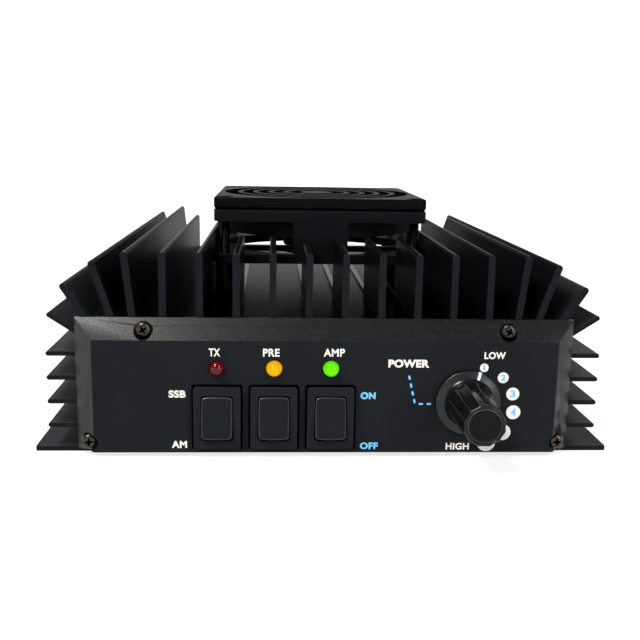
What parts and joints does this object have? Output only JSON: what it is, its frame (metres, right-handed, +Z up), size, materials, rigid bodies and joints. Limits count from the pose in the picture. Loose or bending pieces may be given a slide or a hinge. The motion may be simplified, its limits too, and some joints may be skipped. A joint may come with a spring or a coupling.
{
  "type": "hf linear amplifier",
  "caption": "Flat finned amplifier case with a guarded fan on top, three rocker switches with lamps and a fluted power knob in front, and two coaxial sockets behind.",
  "frame": {"origin": "middle of the case's underside, on the plane it stands on", "axes": "+X to the right of the front panel, +Y from the front panel to the rear, +Z up"},
  "size_m": [0.19, 0.2455, 0.0801],
  "materials": {
    "anodised_extrusion": "black anodised, satin",
    "panel_coat": "charcoal powder coat",
    "cover_sheet": "black anodised sheet",
    "dark_nickel": "dark nickel plate",
    "fan_plastic": "black moulded",
    "guard_plastic": "black moulded, semi-gloss",
    "spacer_metal": "turned",
    "stator_steel": "stacked laminations",
    "shaft_steel": "ground",
    "ferrite": "sintered ferrite",
    "switch_plastic": "black moulded",
    "rocker_plastic": "black moulded, satin",
    "tinned_brass": "tinned",
    "rotary_body": "moulded phenolic",
    "nickel_plate": "nickel plate",
    "shaft_alloy": "turned",
    "knob_plastic": "black, polished",
    "knob_cap_plastic": "black, matte",
    "red_lens": "diffused red, unlit",
    "amber_lens": "diffused amber, lit",
    "green_lens": "diffused green, lit",
    "tinned_wire": "tinned",
    "circuit_board": "green resist on glass fibre",
    "pillar_nylon": "natural nylon",
    "transistor_body": "ceramic and gold-plated flange",
    "relay_case": "dark moulded case",
    "enamelled_wire": "enamelled copper",
    "capacitor_sleeve": "shrink sleeve",
    "holder_plastic": "black moulded",
    "fuse_plastic": "clear blue",
    "white_insulator": "white fluoropolymer",
    "grommet_rubber": "moulded"
  },
  "bodies": {
    "chassis": {"heatsink": "anodised_extrusion", "front_panel": "panel_coat", "rear_panel": "panel_coat", "bottom_cover": "cover_sheet", "front_panel_screws": "dark_nickel", "rear_panel_screws": "dark_nickel", "bottom_cover_screws": "dark_nickel", "fan_frame": "fan_plastic", "fan_guard": "guard_plastic", "fan_spacers": "spacer_metal", "fan_screws": "dark_nickel", "fan_stator": "stator_steel", "mode_switch": "switch_plastic", "preamp_switch": "switch_plastic", "amp_switch": "switch_plastic", "switch_lugs": "tinned_brass", "rotary_switch": "rotary_body", "rotary_nut": "nickel_plate", "tx_lamp": "red_lens", "preamp_lamp": "amber_lens", "amp_lamp": "green_lens", "lamp_leads": "tinned_wire", "lamp_board": "circuit_board", "lamp_board_pillars": "pillar_nylon", "lamp_board_screws": "dark_nickel", "main_board": "circuit_board", "board_pillars": "spacer_metal", "board_screws": "dark_nickel", "rf_transistors": "transistor_body", "transistor_screws": "dark_nickel", "input_transformer_core": "ferrite", "input_transformer_winding": "tinned_brass", "output_transformer_core": "ferrite", "output_transformer_winding": "tinned_brass", "input_relay": "relay_case", "antenna_relay": "relay_case", "filter_coils": "enamelled_wire", "supply_capacitors": "capacitor_sleeve", "supply_choke": "ferrite", "fuse_holders": "holder_plastic", "blade_fuses": "fuse_plastic", "input_socket": "nickel_plate", "antenna_socket": "nickel_plate", "socket_insulators": "white_insulator", "socket_contacts": "tinned_brass", "socket_screws": "nickel_plate", "supply_lead_grommet": "grommet_rubber"},
    "mode_rocker": {"mode_rocker": "rocker_plastic"},
    "preamp_rocker": {"preamp_rocker": "rocker_plastic"},
    "amp_rocker": {"amp_rocker": "rocker_plastic"},
    "selector_knob": {"power_knob": "knob_plastic", "power_knob_skirt": "knob_plastic", "power_knob_cap": "knob_cap_plastic", "power_collet": "tinned_brass", "power_shaft": "shaft_alloy"},
    "impeller": {"fan_rotor": "fan_plastic", "fan_shaft": "shaft_steel", "fan_magnet": "ferrite"}
  },
  "joints": [
    {"name": "mode_rocker_hinge", "type": "hinge", "parent": "chassis", "child": "mode_rocker", "pos_m": [-0.0354, -0.1012, 0.01345], "axis": [1, 0, 0], "range_deg": [0, 18]},
    {"name": "preamp_rocker_hinge", "type": "hinge", "parent": "chassis", "child": "preamp_rocker", "pos_m": [-0.01713, -0.1012, 0.01345], "axis": [1, 0, 0], "range_deg": [0, 18]},
    {"name": "amp_rocker_hinge", "type": "hinge", "parent": "chassis", "child": "amp_rocker", "pos_m": [0.00114, -0.1012, 0.01345], "axis": [1, 0, 0], "range_deg": [0, 18]},
    {"name": "selector_turn", "type": "hinge", "parent": "chassis", "child": "selector_knob", "pos_m": [0.0458, -0.1, 0.0189], "axis": [0, 1, 0], "range_deg": [0, 132]},
    {"name": "impeller_spin", "type": "hinge", "parent": "chassis", "child": "impeller", "pos_m": [0, -0.0043, 0.065], "axis": [0, 0, 1], "continuous": true}
  ]
}
